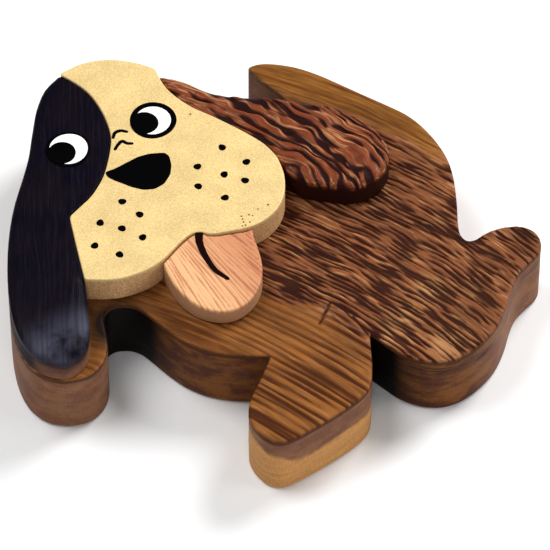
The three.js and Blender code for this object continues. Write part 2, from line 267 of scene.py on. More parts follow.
def grid_inside(loop, across, along, degrees, margin, border):
    """Points on a grid laid along the grain, that far inside the outline."""
    s, t = grain_axes(loop[:, 0], loop[:, 1], degrees)
    rows = np.arange(t.min(), t.max(), across)
    columns = np.arange(s.min(), s.max(), along)
    turned = np.stack([np.asarray(g).ravel() for g in np.meshgrid(columns, rows)], axis=1)
    kept = turned[inside(turned, np.stack([s, t], axis=1))]
    x, y = grain_axes(kept[:, 0], kept[:, 1], -degrees)
    points = np.stack([x, y], axis=1)
    return points[border.distance(points) > margin]


def triangulated(loop, extra):
    """Points and triangles of the area inside a loop. The loop's points come first, in order."""
    points = np.vstack([loop, extra]) if len(extra) else loop
    made, _, faces, origin, _, _ = delaunay_2d_cdt(
        [Vector(p) for p in points], [], [list(range(len(loop)))], 1, 1e-5
    )
    order = np.full(len(made), -1)
    free = len(loop)
    for i, sources in enumerate(origin):
        rim = [s for s in sources if s < len(loop)]
        order[i] = rim[0] if rim else free
        free += not rim
    flat = np.zeros((free, 2))
    flat[order] = [tuple(p) for p in made]
    return flat, [[order[v] for v in f] for f in faces]


def rounded(distance, width, depth):
    """How far a rounded edge of that width and depth has dropped at a distance from it."""
    return depth * (1 - np.sqrt(1 - (1 - np.clip(distance / width, 0, 1)) ** 2))


def slab(name, loop, bottom, top, grain=0, across=0.6, along=0.6, edge=0.3, foot=0.2, wall_step=1.0,
         wobble=0.0, covered=()):
    """A closed slab with a worked top and rounded edges.

    top is a height, or a function of the points and their distances to the outline. No grid is laid
    under the covered outlines.
    """
    border = Border(loop)
    normals = outward(loop)

    # The top: rings of points over the rounded edge, then a grid laid along the grain.
    inner = []
    for share in (0.12, 0.35, 0.7, 1.1):
        ring_in = (loop - normals * edge * share)[:: 1 if share < 1 else 2]
        inner.append(ring_in[border.distance(ring_in) > edge * share * 0.96])
    fill = grid_inside(loop, across, along, grain, edge * 1.1 + min(across, along) * 0.6, border)
    for hidden in covered:
        under = inside(fill, hidden)
        under[under] = Border(hidden).distance(fill[under]) > 1.5
        fill = fill[~under]
    flat, faces = triangulated(loop, np.vstack([*inner, fill]))
    distance = border.distance(flat)
    distance[: len(loop)] = 0
    height = top(flat, distance) if callable(top) else np.full(len(flat), float(top))
    points = [np.column_stack([flat, height - rounded(distance, edge, edge)])]

    # The wall: rings down to the foot, which is rounded inwards in three steps.
    count = len(loop)
    faces = [list(f) for f in faces]
    rim = points[0][:count, 2]
    levels = max(2, int((rim.mean() - bottom) / wall_step))
    steps = [(0.0, share) for share in np.linspace(0, 1, levels + 1)[1:]]
    steps += [(foot * (1 - math.cos(a)), 1.0 + math.sin(a)) for a in np.radians([30, 60, 90])]
    eased = np.mean([np.roll(normals, k, axis=0) for k in range(-5, 6)], axis=0)
    following = np.roll(np.arange(count), -1)
    previous = np.arange(count)
    total = len(flat)
    for inset, share in steps:
        down = min(share, 1.0)
        z = rim + (bottom + foot - rim) * down - foot * max(share - 1.0, 0)
        uneven = layered_noise(loop[:, 0] / 9 + z / 8, loop[:, 1] / 9 - z / 8, 31) - 0.5
        swell = wobble * uneven * math.sin(math.pi * min(down, 0.999)) ** 0.5
        points.append(np.column_stack([loop - eased * (inset - swell)[:, None], z]))
        current = np.arange(total, total + count)
        total += count
        faces += [[previous[i], current[i], current[j], previous[j]] for i, j in enumerate(following)]
        previous = current

    _, base = triangulated(points[-1][:, :2], [])
    faces += [[previous[v] for v in reversed(f)] for f in base]
    return mesh_object(name, np.vstack(points), faces)


def mesh_object(name, points, faces):
    """A smooth-shaded object from points in millimetres, with its sharp edges kept."""
    data = bpy.data.meshes.new(name)
    data.from_pydata((np.asarray(points) * MM).tolist(), [], faces)
    data.validate()
    data.polygons.foreach_set("use_smooth", [True] * len(data.polygons))
    data.set_sharp_from_angle(angle=SHARP_ANGLE)
    made = bpy.data.objects.new(name, data)
    bpy.context.scene.collection.objects.link(made)
    return made


def prism(loop, low, high):
    """A plain prism of a loop, for cutting."""
    if area(loop) < 0:
        loop = loop[::-1]
    count = len(loop)
    points = np.vstack([np.column_stack([loop[:, :2], np.full(count, z)]) for z in (low, high)])
    _, caps = triangulated(loop[:, :2], [])
    faces = [[i, (i + 1) % count, (i + 1) % count + count, i + count] for i in range(count)]
    faces += [[v + count for v in f] for f in caps] + [list(reversed(f)) for f in caps]
    return mesh_object("cutter", points, faces)


def cut(piece, cutters):
    """Cuts each cutter out of the piece, and removes the cutters."""
    for cutter in cutters:
        modifier = piece.modifiers.new("cut", "BOOLEAN")
        modifier.operation = "DIFFERENCE"
        modifier.solver = "MANIFOLD"
        modifier.object = cutter
    graph = bpy.context.evaluated_depsgraph_get()
    data = bpy.data.meshes.new_from_object(piece.evaluated_get(graph))
    piece.modifiers.clear()
    piece.data = data
    data.set_sharp_from_angle(angle=SHARP_ANGLE)
    for cutter in cutters:
        bpy.data.objects.remove(cutter)


def paint_points(piece, fields):
    """Stores fields of the points, such as the depth of the grain, for the material to read."""
    count = len(piece.data.vertices)
    flat = np.empty(count * 3)
    piece.data.vertices.foreach_get("co", flat)
    points = flat.reshape(-1, 3) / MM
    for name, values in fields(points).items():
        attribute = piece.data.attributes.new(name, "FLOAT", "POINT")
        attribute.data.foreach_set("value", np.asarray(values, np.float32))


# --- Node materials. ---


def rgb(red, green, blue):
    """A display colour as the linear one that the nodes take."""
    values = [c / 255 for c in (red, green, blue)]
    return [v / 12.92 if v <= 0.04045 else ((v + 0.055) / 1.055) ** 2.4 for v in values] + [1.0]


class Look:
    """A node material. Its coordinates are in millimetres, in the CAD frame."""

    def __init__(self, name, roughness=0.5, specular=0.4):
        self.material = bpy.data.materials.new(name)
        self.material.use_nodes = True
        self.tree = self.material.node_tree
        self.shader = self.tree.nodes["Principled BSDF"]
        self.shader.inputs["Roughness"].default_value = roughness
        self.shader.inputs["Specular IOR Level"].default_value = specular
        place = self.tree.nodes.new("ShaderNodeTexCoord").outputs["Object"]
        self.place = self.node("ShaderNodeVectorMath", {0: place, "Scale": 1 / MM}, operation="SCALE")

    def link(self, value, socket):
        if isinstance(value, bpy.types.NodeSocket):
            self.tree.links.new(value, socket)
        else:
            socket.default_value = value

    def node(self, kind, inputs, output=0, **settings):
        """The output of a new node, after its settings are made and its inputs are filled or linked."""
        node = self.tree.nodes.new(kind)
        for name, value in settings.items():
            setattr(node, name, value)
        for name, value in inputs.items():
            self.link(value, node.inputs[name])
        return node.outputs[output]

    def attribute(self, name):
        return self.node("ShaderNodeAttribute", {}, "Fac", attribute_name=name)

    def fibres(self, length, width, detail=4):
        """Noise drawn out along the grain that the piece's points carry."""
        height = self.node("ShaderNodeSeparateXYZ", {0: self.place}, "Z")
        where = self.node("ShaderNodeCombineXYZ", {
            0: self.math("DIVIDE", self.attribute("along"), length),
            1: self.math("DIVIDE", self.attribute("across"), width),
            2: self.math("DIVIDE", height, width),
        })
        return self.noise(where, detail=detail)

    def along_grain(self, degrees, length, width, depth=None):
        """Coordinates with one unit per length along the grain and per width across it."""
        turned = {
            "Vector": self.place,
            "Rotation": (0, 0, math.radians(degrees)),
            "Scale": (length, width, depth or width),
        }
        return self.node("ShaderNodeMapping", turned, vector_type="TEXTURE")

    def noise(self, where=None, scale=1.0, detail=3.0, roughness=0.55):
        inputs = {"Vector": where or self.place, "Scale": scale, "Detail": detail, "Roughness": roughness}
        return self.node("ShaderNodeTexNoise", inputs, "Fac")

    def math(self, operation, a, b):
        return self.node("ShaderNodeMath", {0: a, 1: b}, operation=operation)

    def between(self, value, low, high, to_low=0.0, to_high=1.0):
        """The value, eased from one range into another and held at its ends."""
        ranges = {"Value": value, "From Min": low, "From Max": high, "To Min": to_low, "To Max": to_high}
        return self.node("ShaderNodeMapRange", ranges, "Result", interpolation_type="SMOOTHSTEP")

    def ramp(self, factor, stops):
        """The colour at the factor, between stops given as (position, colour)."""
        node = self.tree.nodes.new("ShaderNodeValToRGB")
        elements = node.color_ramp.elements
        while len(elements) < len(stops):
            elements.new(0.5)
        for element, (position, colour) in zip(elements, stops):
            element.position, element.color = position, colour
        self.link(factor, node.inputs["Fac"])
        return node.outputs["Color"]

    def mix(self, factor, a, b, mode="MIX"):
        inputs = {"Factor": factor, "A": a, "B": b}
        return self.node("ShaderNodeMix", inputs, "Result", data_type="RGBA", blend_type=mode)

    def shade(self, colour, factor, low, high):
        """The colour made darker or lighter as the factor goes from 0 to 1."""
        level = self.between(factor, 0.25, 0.75, low, high)
        grey = self.node("ShaderNodeCombineColor", {0: level, 1: level, 2: level})
        return self.mix(1.0, colour, grey, "MULTIPLY")

    def colour(self, value):
        self.link(value, self.shader.inputs["Base Color"])

    def rough(self, value):
        self.link(value, self.shader.inputs["Roughness"])

    def bump(self, height, distance):
        """Relief of that many millimetres. It lies over relief added before."""
        inputs = {"Strength": 1.0, "Distance": distance * MM, "Height": height}
        normal = self.shader.inputs["Normal"]
        if normal.links:
            inputs["Normal"] = normal.links[0].from_socket
        self.link(self.node("ShaderNodeBump", inputs), normal)

    def on(self, *pieces):
        for piece in pieces:
            if not piece.material_slots:
                piece.data.materials.append(self.material)
            for slot in piece.material_slots:
                slot.material = self.material


def brushed_body_look():
    """The lid: deep brushed grain, ochre on the chest, red-brown on the hip and smooth on the back, with a
    spot of painted shade by the black ear's foot.
    """
    look = Look("brushed_body", specular=0.08)
    groove, ochre, sap, pale = (look.attribute(n) for n in ("groove", "ochre", "sap", "pale"))
    fibre = look.fibres(5, 0.22)
    patch = look.fibres(16, 6, 3)
    streak = look.fibres(30, 1.1, 3)
    ridge = look.mix(ochre, rgb(134, 79, 46), rgb(140, 86, 38))
    flecks = look.between(look.fibres(9, 0.7, 3), 0.53, 0.64, 0, 0.75)
    flecks = look.math("MULTIPLY", flecks, look.between(ochre, 0, 1, 1, 0.3))
    ridge = look.mix(look.math("MAXIMUM", pale, flecks), ridge, rgb(182, 130, 84))
    hollow = look.mix(ochre, rgb(44, 8, 2), rgb(64, 24, 2))
    wood = look.mix(look.between(groove, 0.0, 1.0), ridge, hollow)
    smooth = look.mix(look.between(streak, 0.3, 0.7), rgb(100, 54, 16), rgb(146, 96, 40))
    wood = look.mix(sap, wood, smooth)
    wood = look.shade(wood, fibre, 0.7, 1.2)
    wood = look.shade(wood, patch, 0.72, 1.12)
    # Painted shade: near-black colour on the spot beside the black ear's foot.
    wood = look.mix(look.attribute("stain_and_shade"), wood, look.shade(rgb(26, 13, 8), fibre, 0.7, 1.3))
    look.colour(look.mix(look.attribute("side"), wood, rgb(74, 44, 24)))
    look.rough(look.between(groove, 0, 1, 0.42, 0.7))
    look.bump(fibre, 0.12)
    return look


def block_wood_look():
    """The sanded walls: fine level saw lines, with pale sapwood low on the front foot, and painted shade,
    near black, in the crease by the neck and in the notch between the legs.
    """
    look = Look("block_wood", specular=0.1)
    sap, lined, tan = (look.attribute(n) for n in ("sap", "lined", "tan"))
    lines = look.noise(look.along_grain(0, 14, 14, 0.35), detail=4, roughness=0.65)
    cloud = look.noise(look.along_grain(0, 9, 9, 4), detail=4)
    pores = look.noise(look.along_grain(0, 0.3, 0.3, 1.6), detail=2)
    wood = look.mix(look.between(cloud, 0.38, 0.62), rgb(80, 40, 22), rgb(120, 72, 28))
    wood = look.mix(tan, wood, look.mix(look.between(cloud, 0.4, 0.6), rgb(116, 74, 54), rgb(132, 90, 62)))
    wood = look.mix(sap, wood, rgb(192, 138, 80))
    wood = look.shade(wood, lines, 0.72, 1.18)
    wood = look.shade(wood, pores, 0.85, 1.1)
    wood = look.mix(look.math("MULTIPLY", lined, look.between(lines, 0.52, 0.6)), wood, rgb(30, 12, 8))
    # Painted shade: near black in the crease by the neck and the notch between the legs.
    look.colour(look.mix(look.attribute("stain_and_shade"), wood, rgb(9, 3, 2)))
    look.rough(look.between(lines, 0.3, 0.7, 0.5, 0.62))
    look.bump(lines, 0.06)
    look.bump(pores, 0.04)
    return look


def face_board_look():
    """Pale fine-grained board under a thin lacquer, rougher and browner on its sawn edge."""
    look = Look("face_board", specular=0.4)
    side = look.attribute("side")
    speckle = look.noise(scale=2.2, detail=5, roughness=0.7)
    cloud = look.noise(scale=0.12, detail=3)
    top = look.mix(look.between(speckle, 0.3, 0.7), rgb(204, 170, 104), rgb(234, 208, 148))
    top = look.shade(top, cloud, 0.88, 1.06)
    flecks = look.noise(scale=1.3, detail=2)
    top = look.mix(look.between(flecks, 0.68, 0.74, 0, 0.5), top, rgb(150, 118, 66))
    sawn = look.mix(look.between(speckle, 0.35, 0.65), rgb(170, 120, 76), rgb(224, 180, 128))
    look.colour(look.mix(side, top, sawn))
    look.rough(look.between(side, 0, 1, 0.42, 0.8))
    look.bump(speckle, 0.05)
    return look


def black_stain_look():
    """Blue-black stain that lets the grain show, with blue-grey near the end of the ear: partly real scuffs
    and dust, partly a painted highlight on the rounded lobe.
    """
    look = Look("black_stain", specular=0.05)
    groove, side, wear_and_highlight = (look.attribute(n) for n in ("groove", "side", "wear_and_highlight"))
    fibre = look.fibres(9, 0.3)
    cloud = look.noise(scale=0.09, detail=4)
    stain = look.mix(look.between(cloud, 0.35, 0.65), rgb(2, 0, 13), rgb(12, 4, 12))
    stain = look.mix(look.between(fibre, 0.45, 0.75, 0, 0.4), stain, rgb(26, 22, 38))
    # Painted highlight, partly real scuffs: blue-grey patches on the lobe's end, where light glints off the
    # dome.
    stain = look.mix(look.math("MULTIPLY", wear_and_highlight, look.between(cloud, 0.3, 0.6)), stain, rgb(72, 72, 88))
    stain = look.mix(look.between(groove, 0.3, 1, 0, 0.35), stain, rgb(8, 6, 14))
    look.colour(look.mix(look.math("MULTIPLY", side, 0.7), stain, rgb(34, 22, 24)))
    look.rough(look.between(fibre, 0.3, 0.7, 0.36, 0.52))
    look.bump(fibre, 0.08)
    return look


def backing_look():
    """Dull brown wood under the black ear."""
    look = Look("ear_base", specular=0.1)
    lines = look.noise(look.along_grain(0, 12, 12, 0.5), detail=4)
    cloud = look.noise(scale=0.15, detail=3)
    wood = look.mix(look.between(cloud, 0.35, 0.65), rgb(104, 68, 50), rgb(132, 90, 64))
    wood = look.shade(wood, lines, 0.75, 1.15)
    # Real stain and painted shade: the base is darkened where the ear's stain ran down and, towards the
    # crown, where shade falls beside the ear.
    look.colour(look.mix(look.attribute("stain_and_shade"), wood, rgb(18, 10, 14)))
    look.rough(look.between(lines, 0.3, 0.7, 0.55, 0.7))
    look.bump(lines, 0.06)
    return look


def carved_ear_look():
    """Dark red-brown and tan streaks, carved along the ear, with its wall painted dark as shade, standing
    in for an undercut.
    """
    look = Look("carved_ear", specular=0.08)
    groove, side, wear_and_highlight = (look.attribute(n) for n in ("groove", "side", "wear_and_highlight"))
    fibre = look.fibres(6, 0.25)
    streak = look.fibres(10, 0.7, 3)
    ridge = look.mix(look.between(streak, 0.5, 0.64, 0, 0.8), rgb(120, 58, 32), rgb(176, 124, 84))
    # On this ear the mask is only real wear, a paler lower rim.
    ridge = look.mix(look.between(wear_and_highlight, 0.3, 1, 0, 0.7), ridge, rgb(164, 112, 74))
    wood = look.mix(look.between(groove, 0.25, 0.8), ridge, rgb(32, 2, 0))
    wood = look.shade(wood, fibre, 0.62, 1.24)
    # Painted shade on the dark wood of the wall: it is coloured as if in the shadow under an undercut.
    look.colour(look.mix(side, wood, rgb(40, 16, 12)))
    look.rough(look.between(groove, 0, 1, 0.4, 0.55))
    look.bump(fibre, 0.1)
    return look


def tongue_wood_look():
    look = Look("tongue_wood", specular=0.35)
    groove, side = look.attribute("groove"), look.attribute("side")
    fibre = look.fibres(6, 0.22)
    ridge = look.mix(look.attribute("rosy"), rgb(228, 174, 122), rgb(198, 128, 84))
    hollow = look.mix(look.attribute("rosy"), rgb(192, 124, 78), rgb(166, 98, 62))
    wood = look.mix(look.between(groove, 0.45, 1.0), ridge, hollow)
    wood = look.shade(wood, fibre, 0.88, 1.06)
    look.colour(look.mix(side, wood, look.shade(rgb(176, 128, 92), fibre, 0.8, 1.15)))
    look.rough(look.between(side, 0, 1, 0.5, 0.75))
    look.bump(fibre, 0.06)
    return look


def paint_look(name, colour, roughness):
    """Brushed-on enamel with a faint ripple."""
    look = Look(name, specular=0.02)
    ripple = look.noise(scale=0.9, detail=2)
    look.colour(look.shade(colour, ripple, 0.9, 1.06))
    look.rough(look.between(ripple, 0.3, 0.7, roughness, roughness + 0.08))
    look.bump(ripple, 0.02)
    return look


def beech_look():
    look = Look("beech", roughness=0.6)
    fleck = look.noise(look.along_grain(90, 3, 0.3), detail=3)
    look.colour(look.mix(look.between(fleck, 0.35, 0.7), rgb(214, 180, 134), rgb(176, 134, 88)))
    look.bump(fleck, 0.04)
    return look


def felt_look():
    look = Look("felt", roughness=0.95, specular=0.1)
    fuzz = look.noise(scale=3.5, detail=5, roughness=0.7)
    clumps = look.noise(scale=0.5, detail=3)
    cloth = look.mix(look.between(fuzz, 0.3, 0.7), rgb(70, 12, 22), rgb(128, 34, 46))
    look.colour(look.shade(cloth, clumps, 0.85, 1.1))
    look.bump(fuzz, 0.25)
    look.shader.inputs["Sheen Weight"].default_value = 0.4
    return look


def cork_look():
    look = Look("cork", roughness=0.9, specular=0.2)
    cells = look.noise(scale=1.1, detail=4, roughness=0.7)
    stops = (0.35, rgb(96, 64, 40)), (0.5, rgb(176, 132, 90)), (0.7, rgb(196, 156, 112))
    look.colour(look.ramp(cells, stops))
    look.bump(cells, 0.2)
    return look


def metal_look(name, colour, roughness):
    look = Look(name, specular=0.5)
    look.shader.inputs["Metallic"].default_value = 1.0
    brushing = look.noise(look.along_grain(20, 2, 0.06), detail=3)
    look.colour(look.shade(colour, brushing, 0.88, 1.05))
    look.rough(look.between(brushing, 0.3, 0.7, roughness, roughness + 0.12))
    look.bump(brushing, 0.01)
    return look


# --- Fields of the wood: where its grooves and its colours lie. ---


def brushed(points, degrees, length, width, seed, centre=(0, 0), bend=0.0, fan=0.0, wander=1.0, even=0.3):
    """Distances along and across the grain, and the brushed grain itself: 0 on ridges, 1 in grooves.

    The grooves wander and break off. They come at even widths as far as even says, from 0 to 0.7.
    """
    s, t = grain_axes(points[:, 0] - centre[0], points[:, 1] - centre[1], degrees)
    t = (t + bend * s * s) / (1 + fan * s)
    t = t + wander * width * (layered_noise(s / length / 1.5, t / width / 4, seed) - 0.5)
    turns = t / width + 0.8 * value_noise(s / length, t / width / 1.5, seed + 10)
    stripes = 0.5 + 0.5 * np.sin(2 * math.pi * turns)
    breaks = value_noise(s / length / 0.7, t / width / 0.75, seed + 20)
    hairs = value_noise(s / length / 0.35, t / width / 0.3, seed + 30)
    grain = even * stripes + (0.7 - even) * breaks + 0.3 * hairs
    return s, t, smoothstep(0.28, 0.72, grain)


def scratch(points, start, end, width):
    """1 along a straight scratch, falling to 0 beside it."""
    start, along = np.array(start), np.subtract(end, start)
    share = np.clip((points[:, :2] - start) @ along / (along @ along), 0, 1)
    gap = np.linalg.norm(points[:, :2] - start - share[:, None] * along, axis=1)
    return np.exp(-((gap / width) ** 2))


def beyond(points, line, softness):
    """From 0 to 1 across a line given as points (x, y) with y rising: 1 on its +X side."""
    xs, ys = zip(*line)
    ragged = 3 * (layered_noise(points[:, 0] / 5, points[:, 1] / 14, 71) - 0.5)
    return smoothstep(-softness, softness, points[:, 0] - np.interp(points[:, 1], ys, xs) + ragged)


def blob(points, x, y, radius):
    return np.exp(-((points[:, 0] - x) ** 2 + (points[:, 1] - y) ** 2) / radius**2)


def down_wall(points, top, start, end):
    """From 0 to 1 as points go down from start to end below the top. Points without a height give 0."""
    if points.shape[1] < 3:
        return np.zeros(len(points))
    return smoothstep(-start, -end, points[:, 2] - top)


def body_fields(points):
    """The chest has long straight grooves, and the hip short deep dashes. The back is smooth sapwood. The
    spot of painted shade has no grooves.
    """
    hip = beyond(points, CHEST_LINE, 2.5)
    s, t, dashes = brushed(points, BODY_GRAIN, 8, 1.5, 1, bend=BODY_BEND, wander=1.2, even=0.24)
    stripes = brushed(points, BODY_GRAIN, 30, 2.2, 2, bend=BODY_BEND, even=0.26)[2]
    stripes *= 0.7 + 0.3 * smoothstep(-34, -50, points[:, 1])
    sap = beyond(points, SAPWOOD_LINE, 3) * smoothstep(-16, -4, points[:, 1])
    # Painted shade beside the black ear's foot; the grooves are calmed there.
    stain_and_shade = np.clip(1.6 * blob(points, *LID_SHADE_SPOT), 0, 1)
    groove = (hip * dashes + (1 - hip) * 0.85 * stripes) * (1 - 0.92 * sap) * (1 - stain_and_shade)
    scars = [scratch(points, start, end, 0.5) for start, end in SCARS]
    pale = sum(blob(points, *place) for place in PALE_PATCHES)
    return {
        "along": s,
        "across": t,
        "groove": np.max([groove, *scars], axis=0),
        "ochre": 1 - hip,
        "sap": sap,
        "pale": np.clip(pale, 0, 1),
        "stain_and_shade": stain_and_shade,
        "side": down_wall(points, LID_TOP, 0.5, 1.0),
    }


def block_fields(points):
    """Sapwood low on the front foot, dark lines under the top of the hind leg, and painted shade in the
    crease by the neck and the notch between the legs.
    """
    x, y, z = points.T
    ragged = 4 * (layered_noise(x / 6 + z / 9, y / 6, 41) - 0.5)
    front_foot = smoothstep(14, 10, x) * smoothstep(-40, -50, y)
    border = 10.5 + 5 * smoothstep(-22, -30, x) + ragged
    hind_leg = smoothstep(8, 14, x) * smoothstep(-40, -50, y)
    return {
        "sap": front_foot * smoothstep(border + 0.8, border - 0.8, z),
        "lined": hind_leg * smoothstep(12, 16, z) * (z < BLOCK_TOP - 0.3),
        "tan": np.clip(smoothstep(30, 45, x) + front_foot + smoothstep(-42, -48, x), 0, 1),
        # Painted shade in the crease by the neck and the notch between the legs.
        "stain_and_shade": np.clip(1.5 * blob(points, *NECK_SHADE_SPOT) + 1.4 * blob(points, *LEG_SHADE_SPOT), 0, 1),
    }


def ear_fields(points):
    s, t, groove = brushed(points, EAR_GRAIN, 9, 2.3, 5, bend=EAR_BEND, wander=3.5, even=0.26)
    side = down_wall(points, EAR_TOP, 1.6, 2.6)
    wear_and_highlight = smoothstep(-2, -14, points[:, 1]) * layered_noise(s / 3, t / 2, 6)
    return {"along": s, "across": t, "groove": groove, "side": side, "wear_and_highlight": wear_and_highlight}


def black_fields(points):
    s, t, groove = brushed(points, BLACK_GRAIN, 22, 1.6, 8)
    side = down_wall(points, FACE_TOP, 1.2, 2.6)
    # The lobe's end, where the blue-grey of scuffs and painted highlight goes.
    wear_and_highlight = smoothstep(2, -14, points[:, 1])
    return {"along": s, "across": t, "groove": groove, "side": side, "wear_and_highlight": wear_and_highlight}


def tongue_fields(points):
    s, t, groove = brushed(
        points, TONGUE_GRAIN, 14, 1.2, 12, centre=TONGUE_CENTRE, fan=TONGUE_FAN, even=0.35
    )
    side = down_wall(points, tongue_top(points), 0.35, 0.8)
    rosy = smoothstep(-22, -1, points[:, 0])
    return {"along": s, "across": t, "groove": groove, "side": side, "rosy": rosy}


def backing_fields(points):
    """The stain of the ear has run down over its base, but only a little at the foot. Towards the crown the
    base is painted dark all the way down, as painted shade.
    """
    high = smoothstep(LID_TOP + 1, FACE_TOP - 4, points[:, 2])
    return {"stain_and_shade": np.maximum(smoothstep(-13, -7, points[:, 1]), 0.6 * high)}


def face_fields(points):
    return {"side": down_wall(points, FACE_TOP, 0.3, 0.6)}


# --- The wooden pieces. ---


def top_of(node):
    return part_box(node)[1].z / MM


def bottom_of(node):
    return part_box(node)[0].z / MM


def holes(node, height, upward):
    """A cutter for each hole that opens in the face at that height."""
    points, _ = merged(node)
    made = []
    for loop in loops(node, height)[1:]:
        here = np.linalg.norm(points[:, :2] - loop[0], axis=1) < 0.02
        far = points[here, 2].min() if upward > 0 else points[here, 2].max()
        low, high = sorted((far - 0.01 * upward, height + upward))
        through = far in (points[:, 2].min(), points[:, 2].max())
        made.append(prism(loop, low - through, high + through))
    return made


def finished(piece, body, slot, *nodes, fields=None):
    """The piece rides on its body and stands for the nodes. The slot is not used."""
    if fields:
        paint_points(piece, fields)
    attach(piece, body)
    if nodes:
        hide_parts(*nodes)
    return piece


def make_block():
    outline = softened(loops("body_block", BLOCK_TOP)[0])
    piece = slab("block", outline, 0, BLOCK_TOP, across=3, along=3, edge=0.2, foot=1.0, wobble=0.25)
    cut(piece, holes("body_block", BLOCK_TOP, 1) + holes("body_block", 0, -1))
    return finished(piece, "base", "block_wood", "body_block", fields=block_fields)


def lid_height(flat, distance):
    """The brushed top, which swells a little, is calmer near the rim and rounds off at it."""
    fields = body_fields(flat)
    calm = 0.4 + 0.6 * smoothstep(0, LID_ROUND[0], distance)
    swell = 0.25 * layered_noise(flat[:, 0] / 9, flat[:, 1] / 9, 51) * (1 - fields["sap"])
    return LID_TOP - (LID_GROOVE * fields["groove"] + swell) * calm - rounded(distance, *LID_ROUND)


def make_lid():
    outline = softened(loops("lid_plate", LID_TOP)[0])
    above = ("face_plate", "left_ear_backing", "right_ear")
    covered = [softened(loops(node, top_of(node))[0]) for node in above]
    piece = slab("lid", outline, LID_BOTTOM, lid_height, grain=BODY_GRAIN - 6, across=0.24, along=0.6,
                 edge=0.35, foot=0.15, wall_step=0.4, covered=covered)
    cut(piece, holes("lid_plate", LID_BOTTOM, -1))
    return finished(piece, "lid", "lid_wood", "lid_plate", fields=body_fields)


def tongue_frame():
    """The middle of the lock pin, and unit vectors along and across the way that the tongue slides."""
    low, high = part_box("lock_pin")
    joint = next(j for j in frame["joints"] if j["name"] == "tongue_pull")
    along = np.array(joint["axis"][:2]) / np.linalg.norm(joint["axis"][:2])
    return np.array((low + high)[:2]) / 2 / MM, along, np.array([-along[1], along[0]])


def tenon_bar(side, ahead, low, high):
    """A bar round the tenon, that much wider on each side and longer towards the tip of the tongue."""
    middle, along, across = tongue_frame()
    points = merged("tongue_tenon")[0][:, :2] - middle
    s, t = points @ along, points @ across
    corners = [(s.min() - side, t.min() - side), (s.max() + ahead, t.min() - side),
               (s.max() + ahead, t.max() + side), (s.min() - side, t.max() + side)]
    return prism(np.array([middle + a * along + b * across for a, b in corners]), low, high)


def make_face():
    """The face, with pockets under it for the pin's slot, the tenon and its brad, and the dowel."""
    outline = softened(loops("face_plate", FACE_TOP)[0], blur=0.6)
    ceiling = top_of("tongue_tenon") + TENON_ROOM
    slot, bore = loops("lid_plate", LID_TOP)[1:]
    brad = loops("tongue_stop_brad", top_of("tongue_stop_brad"))[0]
    piece = slab("face", outline, bottom_of("face_plate"), FACE_TOP, across=1, along=1, edge=0.35,
                 foot=0.15, wobble=0.15)
    pits = [prism(ring(*place), FACE_TOP - 0.5, FACE_TOP + 1) for place in face_places(FACE_PITS)]
    cut(piece, [
        prism(slot, LID_TOP - 1, ceiling),
        tenon_bar(TENON_ROOM, 30, LID_TOP - 1, ceiling),
        prism(bore, LID_TOP - 1, top_of("pivot_dowel") + PIN_ROOM),
        prism(brad, LID_TOP - 1, top_of("tongue_stop_brad") + PIN_ROOM),
        *pits,
    ])
    return finished(piece, "lid", "face_wood", "face_plate", fields=face_fields)


def make_left_ear():
    """The black ear, flush with the face where they meet and domed elsewhere, most of all on its lobe."""
    outline = softened(loops("left_ear", FACE_TOP)[0], blur=0.6)
    beside_face = Border(softened(loops("face_plate", FACE_TOP)[0], blur=0.6))
    open_edge = Border(outline, beside_face.distance(outline) > 0.8)

    def height(flat, distance):
        fields = black_fields(flat)
        gap = open_edge.distance(flat)
        lobe = smoothstep(12, -12, flat[:, 1])
        width, depth = 3.2 + 3.5 * lobe, 1.3 + 0.9 * lobe
        return FACE_TOP - 0.05 - rounded(gap, width, depth) - BLACK_GROOVE * fields["groove"]

    piece = slab("left_ear_cap", outline, bottom_of("left_ear"), height, grain=BLACK_GRAIN, across=0.4,
                 along=0.9, edge=0.2, foot=0.1, wobble=0.15)
    return finished(piece, "lid", "black_stain", "left_ear", fields=black_fields)


def make_backing():
    outline = softened(loops("left_ear_backing", top_of("left_ear_backing"))[0], blur=0.6)
    piece = slab("left_ear_base", outline, bottom_of("left_ear_backing"), top_of("left_ear_backing"),
                 across=4, along=4, edge=0.15, foot=0.15, wobble=0.15)
    return finished(piece, "lid", "dark_wood", "left_ear_backing", fields=backing_fields)


def make_right_ear():
    outline = softened(loops("right_ear", EAR_TOP)[0], blur=0.6)

    def height(flat, distance):
        return EAR_TOP - rounded(distance, *EAR_ROUND) - EAR_GROOVE * ear_fields(flat)["groove"]

    piece = slab("right_ear_cap", outline, bottom_of("right_ear"), height, grain=EAR_GRAIN, across=0.28,
                 along=0.6, edge=0.3, foot=0.3, wobble=0.6)
    return finished(piece, "lid", "dark_wood", "right_ear", fields=ear_fields)


def slope_of(node):
    """The plane z = a + b x + c y through the highest points of a node."""
    points, triangles = merged(node)
    corners = points[triangles]
    normals = np.cross(corners[:, 1] - corners[:, 0], corners[:, 2] - corners[:, 0])
    up = triangles[normals[:, 2] > 0.7 * np.linalg.norm(normals, axis=1)]
    chosen = points[np.unique(up)]
    chosen = chosen[chosen[:, 2] > bottom_of(node) + 4]
    sides = np.column_stack([np.ones(len(chosen)), chosen[:, :2]])
    return np.linalg.lstsq(sides, chosen[:, 2], rcond=None)[0]


TONGUE_SLOPE = slope_of("tongue")


def tongue_top(points):
    """The sloping top of the tongue, as its CAD node has it."""
    return TONGUE_SLOPE[0] + points[:, :2] @ TONGUE_SLOPE[1:]


